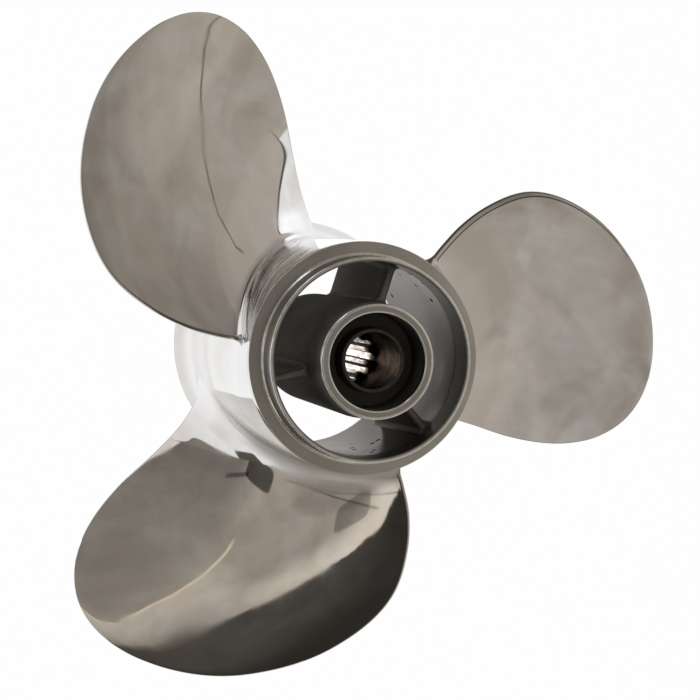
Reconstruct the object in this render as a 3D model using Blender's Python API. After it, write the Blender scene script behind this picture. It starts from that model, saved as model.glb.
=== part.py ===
"""A three-blade outboard propeller standing on its flared aft rim. Metres, +Z is forward along the shaft."""

import math

import bpy

MM = 0.001

# Heights above the aft rim
SHOULDER_Z = 107.6 * MM
SPIGOT_Z = 117.3 * MM
TUBE_Z = 125.3 * MM
TUBE_AFT_Z = 33.0 * MM
SLEEVE_Z = 119.5 * MM
SLEEVE_AFT_Z = 34.0 * MM
SPLINE_Z = 87.2 * MM
BUSHING_Z = 111.0 * MM
BUSHING_AFT_Z = 37.0 * MM
RIB_Z = 107.0 * MM
RIB_AFT_Z = 37.0 * MM

# Barrel outside and inside, as radius and height from the aft rim forward
BARREL_OUTSIDE = (
    (45.0, 0.0), (44.7, 1.0), (43.4, 3.2), (42.0, 5.6), (41.0, 7.7), (40.3, 10.0), (39.9, 13.5), (39.6, 20.0),
    (37.7, 107.2), (37.3, 107.6),
)
SPIGOT = ((33.9, 107.6), (33.2, 108.2), (32.8, 116.7), (32.4, 117.3), (31.9, 117.3), (31.4, 116.8))
BARREL_INSIDE = (
    (31.4, 105.0), (35.4, 22.0), (35.8, 14.0), (36.3, 10.5), (37.6, 7.2), (39.6, 4.2), (42.0, 1.4), (43.2, 0.0),
)
BARREL_SEGMENTS = 72

# Inner hub, bushing and sleeve
TUBE_FORWARD_R = 18.2 * MM
TUBE_BODY_R = 19.1 * MM
TUBE_BORE_R = 15.4 * MM
SLEEVE_R = 10.3 * MM
COUNTERBORE_R = 9.0 * MM
SPLINE_GROOVE_R = 8.6 * MM
SPLINE_LAND_R = 7.8 * MM
SPLINE_TEETH = 10
POINTS_A_TOOTH = 8
TUBE_SEGMENTS = 60
GAP = 0.3 * MM

# Ribs between the inner hub and the barrel
RIB_COUNT = 3
RIB_THICKNESS = 2.6 * MM
RIB_FILLET = 2.0 * MM
FIRST_RIB_DEGREES = 90.0

# Blades
BLADE_COUNT = 3
FIRST_BLADE_DEGREES = 136.1
PITCH = 339.0 * MM
BLADE_MIDDLE_Z = 46.6 * MM
BLADE_RAKE = -0.094
BLADE_RAKE_CURVE = 0.51
BLADE_ROOT_R = 37.7 * MM
BLADE_TIP_R = 125.66 * MM
BLADE_CAMBER = 1.6 * MM
CAMBERED_CHORD = 100.0 * MM
BLADE_EDGE = 0.8 * MM
BLADE_FILLET = 5.0 * MM
CHORD_STEPS = 12

# Radius, leading edge angle, trailing edge angle and greatest thickness, in millimetres and degrees
BLADE_STATIONS = (
    (38.0, 51.5, -38.5, 6.4),
    (42.0, 52.3, -33.0, 5.9),
    (48.0, 52.0, -28.5, 5.3),
    (56.0, 51.0, -25.3, 4.7),
    (68.0, 48.0, -23.3, 4.1),
    (84.0, 42.0, -22.0, 3.5),
    (100.0, 31.0, -19.7, 3.0),
    (112.0, 20.0, -16.6, 2.6),
    (117.0, 14.6, -14.5, 2.4),
    (120.0, 10.6, -12.8, 2.3),
    (122.0, 7.3, -11.3, 2.2),
    (123.5, 4.3, -9.7, 2.1),
    (124.5, 1.8, -8.2, 2.0),
    (125.3, -0.7, -6.3, 1.9),
    (125.66, -3.5, -3.5, 1.8),
)
BLADE_RADII = (
    51.7, 58.4, 67.9, 79.4, 89.7, 98.6, 106.3, 112.0, 116.0, 118.9, 121.2, 122.8, 124.0, 124.9, 125.4, 125.64,
)


def clear_scene():
    for obj in list(bpy.data.objects):
        bpy.data.objects.remove(obj, do_unlink=True)


def steel(name, colour, roughness):
    """A bare metal material."""
    material = bpy.data.materials.new(name)
    material.use_nodes = True
    shader = material.node_tree.nodes["Principled BSDF"]
    shader.inputs["Base Color"].default_value = (*colour, 1.0)
    shader.inputs["Metallic"].default_value = 1.0
    shader.inputs["Roughness"].default_value = roughness
    return material


def rubber(name):
    """Near-black moulded rubber."""
    material = bpy.data.materials.new(name)
    material.use_nodes = True
    shader = material.node_tree.nodes["Principled BSDF"]
    shader.inputs["Base Color"].default_value = (0.012, 0.011, 0.010, 1.0)
    shader.inputs["Roughness"].default_value = 0.8
    return material


def add_object(name, points, faces, material, smooth_degrees=35.0):
    mesh = bpy.data.meshes.new(name)
    mesh.from_pydata(points, [], faces)
    mesh.materials.append(material)
    mesh.shade_smooth()
    mesh.set_sharp_from_angle(angle=math.radians(smooth_degrees))
    obj = bpy.data.objects.new(name, mesh)
    bpy.context.scene.collection.objects.link(obj)
    return obj


def join_rings(rings, closed):
    """Points and faces of a skin over rings with equal point counts. A closed skin joins the last ring to the first."""
    count = len(rings[0])
    points = [point for ring in rings for point in ring]
    faces = []
    for row in range(len(rings) - (not closed)):
        start = row * count
        after = (row + 1) % len(rings) * count
        for i in range(count):
            j = (i + 1) % count
            faces.append((start + i, start + j, after + j, after + i))
    return points, faces


def round_ring(radius, height, count):
    """A ring of points about the shaft axis."""
    turns = [2 * math.pi * i / count for i in range(count)]
    return [(radius * math.cos(a), radius * math.sin(a), height) for a in turns]


def turned(name, profile, count, material):
    """A ring-shaped piece. The profile runs up the outside and down the inside."""
    rings = [round_ring(radius, height, count) for radius, height in profile]
    return add_object(name, *join_rings(rings, closed=True), material)


def table_value(rows, x, column):
    """A smooth value between the rows of a table, whose first column is x."""
    x = min(max(x, rows[0][0]), rows[-1][0])
    last = len(rows) - 1
    i = next(k for k in range(last) if x <= rows[k + 1][0])
    slopes = []
    for k in (i, i + 1):
        before, after = rows[max(k - 1, 0)], rows[min(k + 1, last)]
        slopes.append((after[column] - before[column]) / (after[0] - before[0]))
    width = rows[i + 1][0] - rows[i][0]
    t = (x - rows[i][0]) / width
    start, end = rows[i][column], rows[i + 1][column]
    rise = (3 - 2 * t) * t * t
    ease_out, ease_in = t * (1 - t) ** 2, t * t * (t - 1)
    return start + (end - start) * rise + width * (slopes[0] * ease_out + slopes[1] * ease_in)


def wall_radius(profile, height):
    """Radius of a barrel wall at a height, on straight lines between its profile points."""
    rows = sorted((z * MM, radius * MM) for radius, z in profile)
    height = min(max(height, rows[0][0]), rows[-1][0])
    for (z0, r0), (z1, r1) in zip(rows, rows[1:]):
        if height <= z1:
            return r0 + (r1 - r0) * (height - z0) / (z1 - z0)
    return rows[-1][1]


def fillet_growth(distance, size):
    """How much a piece thickens on each side at this distance from the wall that it grows out of."""
    if distance >= size:
        return 0.0
    return size - math.sqrt(size**2 - (size - distance) ** 2)


def outer_hub(material):
    profile = BARREL_OUTSIDE + SPIGOT + BARREL_INSIDE
    return turned("outer_hub", [(r * MM, z * MM) for r, z in profile], BARREL_SEGMENTS, material)


def inner_hub(material):
    edge = 0.5 * MM
    profile = (
        (TUBE_BODY_R - 3 * edge, TUBE_AFT_Z),
        (TUBE_BODY_R - edge, TUBE_AFT_Z + edge),
        (TUBE_BODY_R, TUBE_AFT_Z + 3 * edge),
        (TUBE_BODY_R, SHOULDER_Z),
        (TUBE_FORWARD_R, TUBE_Z - edge),
        (TUBE_FORWARD_R - edge, TUBE_Z),
        (TUBE_BORE_R + edge, TUBE_Z),
        (TUBE_BORE_R, TUBE_Z - edge),
        (TUBE_BORE_R, TUBE_AFT_Z),
    )
    return turned("inner_hub", profile, TUBE_SEGMENTS, material)


def rubber_bushing(material):
    inside, outside = SLEEVE_R + GAP, TUBE_BORE_R - GAP
    bevel = 0.8 * MM
    profile = (
        (outside - bevel, BUSHING_AFT_Z),
        (outside, BUSHING_AFT_Z + bevel),
        (outside, BUSHING_Z - bevel),
        (outside - bevel, BUSHING_Z),
        (inside, BUSHING_Z),
        (inside, BUSHING_AFT_Z),
    )
    return turned("rubber_bushing", profile, TUBE_SEGMENTS, material)


def spline_ring(height, count):
    """The toothed outline of the splines. Lands and grooves have equal shares, with sloping flanks between."""
    ring = []
    for i in range(count):
        angle = 2 * math.pi * (i - 1) / count + math.radians(20.0)
        on_land = i % POINTS_A_TOOTH < POINTS_A_TOOTH // 2 - 1
        radius = SPLINE_LAND_R if on_land else SPLINE_GROOVE_R
        ring.append((radius * math.cos(angle), radius * math.sin(angle), height))
    return ring


def spline_sleeve(material):
    count = SPLINE_TEETH * POINTS_A_TOOTH
    edge = 0.4 * MM
    outside = (
        (SLEEVE_R - edge, SLEEVE_AFT_Z),
        (SLEEVE_R, SLEEVE_AFT_Z + edge),
        (SLEEVE_R, SLEEVE_Z - edge),
        (SLEEVE_R - edge, SLEEVE_Z),
        (COUNTERBORE_R, SLEEVE_Z),
        (COUNTERBORE_R, SPLINE_Z),
    )
    rings = [round_ring(radius, height, count) for radius, height in outside]
    rings += [spline_ring(SPLINE_Z, count), spline_ring(SLEEVE_AFT_Z, count)]
    return add_object("spline_sleeve", *join_rings(rings, closed=True), material)


def rib_outline():
    """The rib's outline across its thickness: pairs of side position and height, with round forward and aft edges."""
    half = RIB_THICKNESS / 2
    steps = 4
    outline = []
    for i in range(6):
        turn = math.pi * i / 5
        outline.append((half * math.cos(turn), RIB_Z - half + half * math.sin(turn)))
    for i in range(1, steps):
        outline.append((-half, RIB_Z - half + (RIB_AFT_Z - RIB_Z + RIB_THICKNESS) * i / steps))
    for i in range(6):
        turn = math.pi * (1 + i / 5)
        outline.append((half * math.cos(turn), RIB_AFT_Z + half + half * math.sin(turn)))
    for i in range(1, steps):
        outline.append((half, RIB_AFT_Z + half + (RIB_Z - RIB_AFT_Z - RIB_THICKNESS) * i / steps))
    return outline


def rib_row(from_hub, from_barrel, spread=1.0):
    """One ring of rib points at a distance from the hub, or from the barrel where that is stated."""
    half = RIB_THICKNESS / 2
    distance = from_hub if from_barrel is None else from_barrel
    growth = fillet_growth(distance, RIB_FILLET)
    middle = (RIB_Z + RIB_AFT_Z) / 2
    row = []
    for side, height in rib_outline():
        x = side * (half + growth) / half * spread
        z = middle + (height - middle) * (RIB_Z - middle - 0.3 * growth) / (RIB_Z - middle)
        if from_barrel is None:
            radius = TUBE_BODY_R + GAP + from_hub
        else:
            radius = wall_radius(BARREL_INSIDE, z) - GAP - from_barrel
        row.append((x, math.sqrt(radius**2 - x**2), z))
    return row


def turned_about_shaft(point, degrees):
    c, s = math.cos(math.radians(degrees)), math.sin(math.radians(degrees))
    x, y, z = point
    return x * c - y * s, x * s + y * c, z


def capped(rings):
    """A skin over rings with flat strips closing the first and last ring."""
    points, faces = join_rings(rings, closed=False)
    count = len(rings[0])
    last = (len(rings) - 1) * count
    for i in range(count // 2):
        a, b = i, i + 1
        c, d = (count - 1 - i) % count, (count - i) % count
        corners = [a, b, c, d] if i else [a, b, c]
        corners = [corner for k, corner in enumerate(corners) if corner not in corners[:k]]
        if len(corners) > 2:
            faces.append(tuple(reversed(corners)))
            faces.append(tuple(last + corner for corner in corners))
    return points, faces


def rib(number, material):
    fillet_steps = [RIB_FILLET * share for share in (0.0, 0.12, 0.4, 1.0)]
    rows = [rib_row(None, step) for step in fillet_steps]
    rows += [rib_row(step, None) for step in reversed(fillet_steps)]
    rows.append(rib_row(0.0, None, spread=0.3))
    degrees = FIRST_RIB_DEGREES + (number - 1) * 360 / RIB_COUNT - 90
    rows = [[turned_about_shaft(point, degrees) for point in row] for row in rows]
    return add_object(f"rib_{number}", *capped(rows), material)


def blade_height(radius, angle):
    out = radius - BLADE_ROOT_R
    return BLADE_MIDDLE_Z + BLADE_RAKE * out + BLADE_RAKE_CURVE * out**2 + PITCH * angle / (2 * math.pi)


def tip_reach(radius):
    """Rises to 0 at the tip. The blade's edges change evenly with it, so the outline stays round there."""
    return -math.sqrt(max(BLADE_TIP_R - radius, 0.0) / MM)


def blade_point(radius, share, side, growth, spread=1.0):
    """A point on the blade: share runs from the leading edge 0 to the trailing edge 1, side is 1 forward and -1 aft."""
    rows = [(tip_reach(row[0] * MM), *row[1:]) for row in BLADE_STATIONS]
    leading, trailing, thickness = (table_value(rows, tip_reach(radius), column) for column in (1, 2, 3))
    leading, trailing, thickness = math.radians(leading), math.radians(trailing), thickness * MM
    slope = PITCH / (2 * math.pi * radius)
    along = math.sqrt(1 + slope**2)
    chord = (leading - trailing) * radius * along
    camber = BLADE_CAMBER * (chord / CAMBERED_CHORD) ** 2 * 4 * share * (1 - share)
    half = BLADE_EDGE + (thickness / 2 - BLADE_EDGE) * (1 - abs(2 * share - 1) ** 2.4)
    lift = camber + side * (half + growth) * spread
    reach = 0.0
    if side == 0:
        reach = (BLADE_EDGE + growth) * spread
    shift = reach / chord if share == 0 else -reach / chord
    angle = leading + (trailing - leading) * (share - shift)
    height = blade_height(radius, angle) + lift / along
    return radius, angle - lift * slope / along / radius, height


def blade_ring(place):
    """One closed section of the blade. place(share, side) gives each point."""
    shares = [i / CHORD_STEPS for i in range(CHORD_STEPS + 1)]
    order = [(0, 0)] + [(share, 1) for share in shares] + [(1, 0)] + [(share, -1) for share in reversed(shares)]
    ring = []
    for share, side in order:
        radius, angle, height = place(share, side)
        ring.append((radius * math.cos(angle), radius * math.sin(angle), height))
    return ring


def root_ring(distance, spread=1.0):
    """A section that lies at one distance from the barrel. A spread under 1 lies inside it, on the root's underside."""
    growth = fillet_growth(distance - GAP, BLADE_FILLET)

    def place(share, side):
        radius = BLADE_ROOT_R
        for _ in range(6):
            point = blade_point(radius, share, side, growth, spread)
            radius = wall_radius(BARREL_OUTSIDE, point[2]) + distance
        return radius, point[1], point[2]

    return blade_ring(place)


def blade(number, material):
    rings = [root_ring(GAP, spread=0.3)]
    rings += [root_ring(GAP + BLADE_FILLET * share) for share in (0.0, 0.1, 0.35, 1.0)]
    for radius in BLADE_RADII:
        rings.append(blade_ring(lambda share, side: blade_point(radius * MM, share, side, 0.0)))
    degrees = FIRST_BLADE_DEGREES - (number - 1) * 360 / BLADE_COUNT
    rings = [[turned_about_shaft(point, degrees) for point in ring] for ring in rings]
    return add_object(f"blade_{number}", *capped(rings), material, smooth_degrees=50.0)


def main():
    clear_scene()
    outer_hub(steel("barrel steel", (0.62, 0.60, 0.57), 0.12))
    inner_hub(steel("tube steel", (0.55, 0.53, 0.50), 0.35))
    rubber_bushing(rubber("bushing rubber"))
    spline_sleeve(steel("sleeve steel", (0.42, 0.38, 0.34), 0.4))
    for number in range(1, RIB_COUNT + 1):
        rib(number, steel(f"rib {number} cast steel", (0.45, 0.44, 0.42), 0.45))
    for number in range(1, BLADE_COUNT + 1):
        blade(number, steel(f"blade {number} polished steel", (0.60, 0.57, 0.54), 0.08))


main()
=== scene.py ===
"""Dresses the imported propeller: smooth polished casting, turned faces, rubber bushing and splined sleeve."""

import math

import bpy
import numpy as np
from mathutils import Euler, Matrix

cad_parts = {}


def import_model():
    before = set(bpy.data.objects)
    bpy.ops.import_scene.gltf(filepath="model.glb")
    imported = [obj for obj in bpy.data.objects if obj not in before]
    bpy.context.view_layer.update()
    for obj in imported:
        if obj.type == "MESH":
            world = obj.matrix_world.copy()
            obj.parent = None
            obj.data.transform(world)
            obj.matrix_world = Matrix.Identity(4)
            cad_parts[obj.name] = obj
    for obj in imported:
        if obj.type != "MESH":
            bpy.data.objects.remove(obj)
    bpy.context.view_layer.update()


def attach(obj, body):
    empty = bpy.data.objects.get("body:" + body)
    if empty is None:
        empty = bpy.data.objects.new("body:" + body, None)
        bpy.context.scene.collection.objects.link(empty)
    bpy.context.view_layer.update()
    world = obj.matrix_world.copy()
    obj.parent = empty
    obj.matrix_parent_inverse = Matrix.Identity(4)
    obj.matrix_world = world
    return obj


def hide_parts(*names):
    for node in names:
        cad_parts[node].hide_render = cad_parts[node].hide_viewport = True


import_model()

MM = 0.001
QUARTER = math.pi / 2
BLADE_SPACING = 120

# Arcs at turned corners: steps along an arc, and the support point beside it as a share of its size
ARC_STEPS = 6
ARC_SUPPORT = 0.3

# Points round the turned pieces
BARREL_SEGMENTS = 288
TUBE_SEGMENTS = 192
BUSHING_SEGMENTS = 128

# Heights above the aft rim, in millimetres
SHOULDER_Z = 107.6
SPIGOT_Z = 117.3
TUBE_Z = 125.3
TUBE_AFT_Z = 33.0
SLEEVE_Z = 119.5
SLEEVE_AFT_Z = 34.0
SPLINE_Z = 87.2
BUSHING_Z = 111.0
BUSHING_AFT_Z = 37.0
RIB_Z = 107.0
RIB_AFT_Z = 37.0

# Radii of the inner pieces, in millimetres
TUBE_FORWARD_R = 18.2
TUBE_BODY_R = 19.1
TUBE_FACE_OUTER_R = 17.5
TUBE_FACE_INNER_R = 16.0
TUBE_BORE_R = 15.4
SLEEVE_R = 10.3
COUNTERBORE_R = 9.0
SPLINE_GROOVE_R = 8.6
SPLINE_LAND_R = 6.9
BUSHING_GAP = 0.02

# Splines: number, turn in degrees, points to a tooth, and its half width and flank as shares of its pitch
SPLINE_TEETH = 10
SPLINE_TURN = 13.0
TOOTH_POINTS = 20
TOOTH_HALF_WIDTH = 0.27
TOOTH_FLANK = 0.09

# Ribs, in millimetres, and the points of their mesh
RIB_THICKNESS = 2.6
RIB_FILLET = 2.0
RIB_SINK = 0.15
RIB_END_GROWTH = 0.3
RIB_NOSE_POINTS = 11
RIB_SIDE_POINTS = 12
RIB_FILLET_RINGS = 9

# Blade form, in millimetres and degrees
PITCH = 339.0
FIRST_BLADE_DEGREES = 136.1
BLADE_MIDDLE_Z = 46.6
BLADE_RAKE = -0.094
BLADE_RAKE_CURVE = 0.00051
BLADE_ROOT_R = 37.7
BLADE_TIP_R = 125.66
BLADE_EDGE = 0.8
BLADE_FULLNESS = 2.4
BLADE_CAMBER = 1.6
CAMBER_CHORD = 100.0
BLADE_FILLET = 5.0
SMALL_FILLET = 3.5
HUG_REACH = 30.0
HUG_ROUNDS = 8
BEVEL_WIDTH = 1.3
BEVEL_DROP = 0.28
BEVEL_FADE_R = 100.0
BEVEL_FADE = 16.0
GROOVE_DEPTH = 0.08
GROOVE_WIDTH = 0.25
LINE_REACH = 0.31
NEAR_EDGE = np.array((0.25, 0.5, 0.75, 0.95, 1.05, 1.15, 1.3, 1.45, 1.55, 1.7, 2.1, 2.8, 4.0))

# Blade mesh: its points, its rings from the root out, and the rings where the finish changes
NOSE_POINTS = 13
FACE_POINTS = 64
FACE_START = 0.2
FILLET_RINGS = 15
BLADE_STEPS = 90
LAST_STEP = 0.985
SEAM_RING = 3
EDGE_RING = 12
TIP_RING = 64
BEVEL_END_RING = 72
SEAM_FACES = slice(4, 8)

# Radius, leading edge angle, trailing edge angle, greatest thickness
BLADE_STATIONS = np.array((
    (36.0, 50.8, -41.5, 6.6),
    (38.0, 51.5, -38.5, 6.4),
    (42.0, 52.3, -33.0, 5.9),
    (48.0, 52.0, -28.5, 5.3),
    (56.0, 51.0, -25.3, 4.7),
    (68.0, 48.0, -23.3, 4.1),
    (84.0, 42.0, -22.0, 3.5),
    (100.0, 31.0, -19.7, 3.0),
    (112.0, 20.0, -16.6, 2.6),
    (117.0, 14.6, -14.5, 2.4),
    (120.0, 10.6, -12.8, 2.3),
    (122.0, 7.3, -11.3, 2.2),
    (123.5, 4.3, -9.7, 2.1),
    (124.5, 1.8, -8.2, 2.0),
    (125.3, -0.7, -6.3, 1.9),
    (125.66, -3.5, -3.5, 1.8),
))

# Barrel wall, as radius and height from the aft rim forward
BARREL_OUTSIDE = np.array((
    (44.9, 0.0), (44.7, 1.0), (43.4, 3.2), (42.0, 5.6), (41.0, 7.7), (40.3, 10.0), (39.9, 13.5), (39.6, 20.0),
    (37.7, 107.6),
))
BARREL_INSIDE = np.array((
    (43.4, 0.0), (42.0, 1.4), (39.6, 4.2), (37.6, 7.2), (36.3, 10.5), (35.8, 14.0), (35.4, 22.0),
    (31.4, 105.0),
))

# Stretches of that wall: where each starts and ends, and its number of points
FLARE = (0.8, 20.0, 28)
STRAIGHT = (24.0, 106.7, 22)
THROAT = (104.5, 22.0, 22)
HOLLOW = (20.0, 0.3, 28)

# Aft rim and turned forward end of the barrel, as radius, height and, at a corner, the size of its arc
AFT_RIM = ((44.3, 0.0), (44.8, 0.12), (45.0, 0.4))
RIM_FACE = ((43.6, 0.0),)
SHOULDER_EDGE = ((37.7, 106.75, 0.0), (37.7, 107.35, 0.3), (34.2, SHOULDER_Z, 0.0))
SPIGOT_FOOT = ((34.1, SHOULDER_Z, 0.0), (33.35, SHOULDER_Z, 0.5), (33.3, 108.6, 0.0))
SPIGOT_SIDE = ((33.28, 109.0), (33.0, 113.0), (32.82, 116.5))
SPIGOT_LIP = ((32.8, 116.6, 0.0), (32.75, SPIGOT_Z, 0.35), (32.1, SPIGOT_Z, 0.0))
SPIGOT_END = ((32.0, SPIGOT_Z, 0.0), (31.4, SPIGOT_Z, 0.25), (31.4, 116.0, 0.0))
THROAT_START = (31.4, 105.4)

# Straight part of the barrel wall: its radius carried on to the aft rim, and its taper
WALL_R = 40.03
WALL_TAPER = 0.0217

# Fan of grinding streaks at the root of blade 1, in millimetres and degrees
STREAK_OFFSET = 72.0
STREAK_END = 189.8
STREAK_SPREAD = 0.93
STREAK_LEAST_WIDTH = 1.5

# Colours that more than one place uses
BLACK = (0.0, 0.0, 0.0, 1.0)
DARK_LINE = (0.05, 0.045, 0.04, 1.0)
HIGHLIGHT_WHITE = (0.92, 0.91, 0.90, 1.0)
CAMERA_WHITE = (0.99, 0.99, 0.99, 1.0)

# Camera: lens and sensor in millimetres, place in metres, and turn in degrees
LENS = 105.48
SENSOR = 36.0
CAMERA_PLACE = (-0.1638, -0.0132, 0.7457)
CAMERA_TURN = (-3.067, -13.669, 18.0)

# Floor, in millimetres
FLOOR_REACH = 4000.0
FLOOR_Z = -0.4

# Patches on the studio walls. Middles, half sizes and heights are in degrees round and up.
# Dark ones: middle, half sizes, lean, softness and depth
DARK_PATCHES = (
    ((221.0, 19.0), (6.2, 4.6), -0.35, 0.25, 0.45),
    ((182.5, 3.4), (5.8, 5.2), 0.5, 0.1, 0.79),
    ((174.0, 6.2), (4.2, 1.0), -0.35, 0.2, 0.6),
    ((11.0, 34.0), (9.0, 18.0), 0.0, 0.25, 0.35),
    ((213.0, 9.0), (15.0, 9.0), 0.0, 1.0, 0.25),
)
# Bright ones: middle, half sizes and gain
COOL_PATCH = ((308.0, 16.0), (42.0, 12.0), 0.07)
WARM_PATCHES = (((297.0, 0.0), (20.0, 9.0), 0.07), ((48.0, 29.0), (20.0, 11.0), 0.12))
# Thin dark lines: where one starts, its slope, its bend, its half width, and its lowest and highest point
THIN_LINES = (
    (59.0, -0.68, 0.0085, 0.42, (-5.0, 40.0)),
    (180.0, 3.05, 0.0, 1.0, (4.0, 20.0)),
    (187.0, 2.1, 0.0, 1.0, (7.0, 20.0)),
)


# Mesh helpers

def smooth_rows(rows, x, key=0):
    """Smooth values between table rows at each x. The rows rise in the key column."""
    x = np.clip(x, rows[0, key], rows[-1, key])
    ends = np.pad(rows, ((1, 1), (0, 0)), mode="edge")
    slopes = (ends[2:] - ends[:-2]) / (ends[2:, key : key + 1] - ends[:-2, key : key + 1])
    i = np.clip(np.searchsorted(rows[:, key], x, side="right") - 1, 0, len(rows) - 2)
    width = rows[i + 1, key] - rows[i, key]
    t = ((x - rows[i, key]) / width)[..., None]
    rise = (3 - 2 * t) * t * t
    bend = slopes[i] * (t * (1 - t) ** 2) + slopes[i + 1] * (t * t * (t - 1))
    return rows[i] + (rows[i + 1] - rows[i]) * rise + width[..., None] * bend


def wall_radius(profile, height):
    """Radius of the barrel wall at each height, straight in its last stretch and smooth in the flare."""
    height = np.asarray(height, float)
    straight = np.interp(height, profile[-2:, 1], profile[-2:, 0])
    curved = smooth_rows(profile[:-1], height, key=1)[..., 0]
    return np.where(height > profile[-2, 1], straight, curved)


def wall_points(profile, start, end, count):
    """Points along the barrel wall between two heights."""
    return [(wall_radius(profile, z), z) for z in np.linspace(start, end, count)]


def new_mesh(name, points, faces, materials, face_materials=None):
    """A smooth mesh object from points in millimetres."""
    mesh = bpy.data.meshes.new(name)
    mesh.from_pydata((np.asarray(points) * MM).tolist(), [], faces)
    for material in materials:
        mesh.materials.append(material)
    if face_materials is not None:
        mesh.polygons.foreach_set("material_index", face_materials)
    mesh.shade_smooth()
    obj = bpy.data.objects.new(name, mesh)
    bpy.context.scene.collection.objects.link(obj)
    return obj


def grid_faces(rows, columns, closed_rows=False):
    """Quads over a grid whose columns wrap round."""
    faces = []
    for row in range(rows if closed_rows else rows - 1):
        start, after = row * columns, (row + 1) % rows * columns
        for i in range(columns):
            j = (i + 1) % columns
            faces.append((start + i, start + j, after + j, after + i))
    return faces


def smooth_step(t):
    t = np.clip(t, 0, 1)
    return (3 - 2 * t) * t * t


def fillet_rows(size, count):
    """Distance and growth of each row of a round fillet, from what carries it outwards."""
    return [(size * (1 - math.cos(a)), size * (1 - math.sin(a))) for a in np.linspace(0, QUARTER, count)]


def turned_round(points, degrees):
    """Points turned round the shaft."""
    c, s = math.cos(math.radians(degrees)), math.sin(math.radians(degrees))
    x, y, z = points.T
    return np.stack([x * c - y * s, x * s + y * c, z], 1)


def ring_points(radius, turns, height):
    """Points of one ring round the shaft, whose radius and height may change round it."""
    return np.stack([radius * np.cos(turns), radius * np.sin(turns), 0 * turns + height], 1)


def corner_arc(last, here, following, size):
    """Points round one corner of a profile, with a support point before and after the arc."""
    to_last, to_next = last - here, following - here
    to_last /= np.linalg.norm(to_last)
    to_next /= np.linalg.norm(to_next)
    half = math.acos(float(np.clip(to_last @ to_next, -1, 1))) / 2
    reach = size / math.tan(half)
    start, end = here + to_last * reach, here + to_next * reach
    middle = here + (to_last + to_next) / np.linalg.norm(to_last + to_next) * size / math.sin(half)
    spokes = [(1 - t) * (start - middle) + t * (end - middle) for t in np.linspace(0, 1, ARC_STEPS + 1)]
    arc = [middle + spoke / np.linalg.norm(spoke) * size for spoke in spokes]
    return [start + to_last * ARC_SUPPORT * size, *arc, end + to_next * ARC_SUPPORT * size]


def rounded(corners):
    """A profile with an arc at each corner but its ends. Each corner is radius, height and arc size."""
    places = np.array(corners, float)[:, :2]
    path = [places[0]]
    for k in range(1, len(corners) - 1):
        path += corner_arc(places[k - 1], places[k], places[k + 1], corners[k][2])
    return path + [places[-1]]


def turned(name, parts, count):
    """A ring-shaped piece.

    Each part is a stretch of profile, up the outside and down the inside, and its material.
    """
    turns = np.arange(count) * 2 * math.pi / count
    rings = [ring_points(r, turns, z) for stretch, _ in parts for r, z in stretch]
    materials = list(dict.fromkeys(material for _, material in parts))
    face_finish = [materials.index(material) for stretch, material in parts for _ in stretch for _ in range(count)]
    faces = grid_faces(len(rings), count, closed_rows=True)
    return new_mesh(name, np.concatenate(rings), faces, materials, face_finish)


def dress(piece, node):
    """Puts a piece in the place of its CAD node."""
    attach(piece, "root")
    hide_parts(node)


# Shader helpers

def add_node(tree, kind, **settings):
    node = tree.nodes.new(kind)
    for name, value in settings.items():
        setattr(node, name, value)
    return node


def put(tree, socket, value):
    """Links an output socket, or sets a plain value."""
    if isinstance(value, bpy.types.NodeSocket):
        tree.links.new(value, socket)
    else:
        socket.default_value = value


def calc(tree, operation, *values):
    node = add_node(tree, "ShaderNodeMath", operation=operation)
    for socket, value in zip(node.inputs, values):
        put(tree, socket, value)
    return node.outputs[0]


def in_turn(tree, operation, values):
    """Works out one value from several, two at a time from the left."""
    result = values[0]
    for value in values[1:]:
        result = calc(tree, operation, result, value)
    return result


def product(tree, *values):
    return in_turn(tree, "MULTIPLY", values)


def total(tree, *values):
    return in_turn(tree, "ADD", values)


def greatest(tree, *values):
    return in_turn(tree, "MAXIMUM", values)


def minus(tree, value, amount):
    return calc(tree, "SUBTRACT", value, amount)


def opposite(tree, share):
    """One minus a share."""
    return minus(tree, 1.0, share)


def between(tree, share, first, second):
    """A value from first, where share is 0, to second, where it is 1."""
    return total(tree, product(tree, first, opposite(tree, share)), product(tree, second, share))


def darker(tree, level, mask, depth):
    """A level that loses the share depth where mask is 1."""
    return product(tree, level, opposite(tree, product(tree, mask, depth)))


def ramp(tree, value, start, end, low=0.0, high=1.0):
    """A smooth change from low to high as value goes from start to end."""
    node = add_node(tree, "ShaderNodeMapRange", interpolation_type="SMOOTHSTEP")
    for socket, given in zip(node.inputs, (value, start, end, low, high)):
        put(tree, socket, given)
    return node.outputs[0]


def fall(tree, value, start, end):
    """A smooth change from 1 to 0 as value goes from start to end."""
    return ramp(tree, value, start, end, 1.0, 0.0)


def band(tree, value, rise, drop, high=1.0):
    """Up from 0 to high over the rise, a start and an end, and down to 0 again over the drop."""
    return product(tree, ramp(tree, value, *rise, 0.0, high), fall(tree, value, *drop))


def thin_line(tree, value, middle, core, edge, high=1.0):
    """A line along value = middle: high within core of it, and 0 from edge out."""
    return ramp(tree, calc(tree, "ABSOLUTE", minus(tree, value, middle)), core, edge, high, 0.0)


def blend(tree, share, first, second, mode="MIX"):
    """A mix of two colours."""
    node = add_node(tree, "ShaderNodeMix", data_type="RGBA", blend_type=mode)
    put(tree, node.inputs["Factor"], share)
    put(tree, node.inputs[6], first)
    put(tree, node.inputs[7], second)
    return node.outputs[2]


def noise(tree, where, scale, detail=2.0, roughness=0.5, distortion=0.0):
    node = add_node(tree, "ShaderNodeTexNoise")
    put(tree, node.inputs["Vector"], where)
    put(tree, node.inputs["Scale"], scale)
    put(tree, node.inputs["Detail"], detail)
    put(tree, node.inputs["Roughness"], roughness)
    put(tree, node.inputs["Distortion"], distortion)
    return node.outputs["Fac"]


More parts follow.
